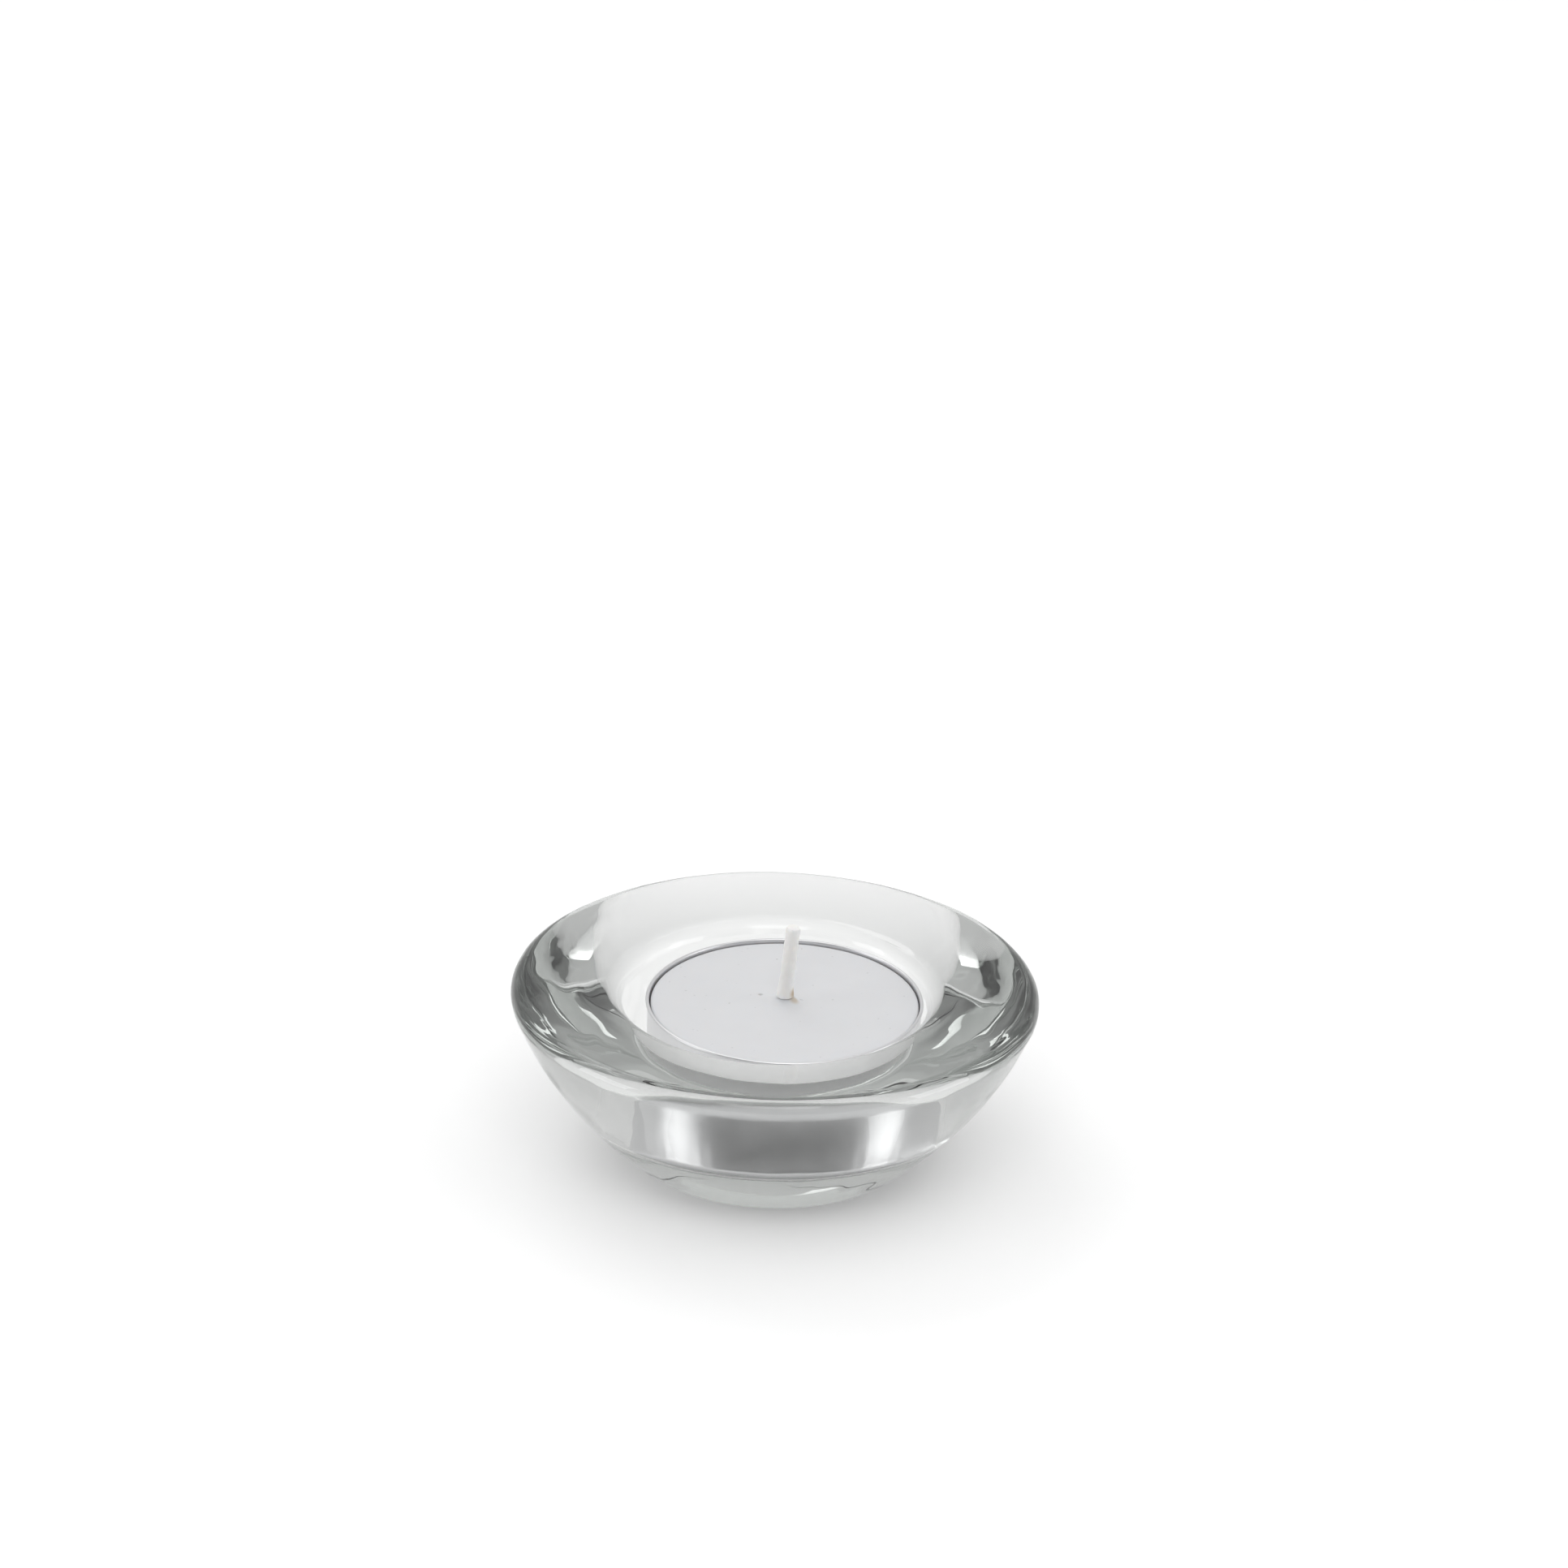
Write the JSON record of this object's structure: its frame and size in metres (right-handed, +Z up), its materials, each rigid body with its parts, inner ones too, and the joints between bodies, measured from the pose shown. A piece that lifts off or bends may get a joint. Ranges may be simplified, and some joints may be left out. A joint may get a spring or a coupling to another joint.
{
  "type": "tealight holder",
  "caption": "Low clear pressed-glass tealight holder with a wide rounded rim, a central well and a thick base, holding a tealight in an aluminium cup.",
  "frame": {"origin": "middle of the foot of the glass, on the surface that the holder stands on", "axes": "+Z up along the axis of the glass; the loose tealight stands a little towards +X in its well, and its wick leans towards +X"},
  "size_m": [0.074, 0.074, 0.034],
  "materials": {
    "glass": "clear pressed glass, fire-polished, faint grey-green tint",
    "cup_aluminium": "thin drawn aluminium sheet, satin, with fine drawing lines",
    "wax": "white paraffin wax, smooth and slightly translucent",
    "wick_cotton": "braided cotton, stiffened with wax",
    "tinned_steel": "thin tinned steel, stamped"
  },
  "bodies": {
    "holder": {"glass_holder": "glass"},
    "cup": {"tealight_cup": "cup_aluminium"},
    "candle": {"wax": "wax", "wick": "wick_cotton", "wick_sustainer": "tinned_steel"}
  },
  "joints": [
    {"name": "cup_lift", "type": "slide", "parent": "holder", "child": "cup", "axis": [0, 0, 1], "range_m": [0, 0.022]},
    {"name": "candle_lift", "type": "slide", "parent": "cup", "child": "candle", "axis": [0, 0, 1], "range_m": [0, 0.016]}
  ]
}
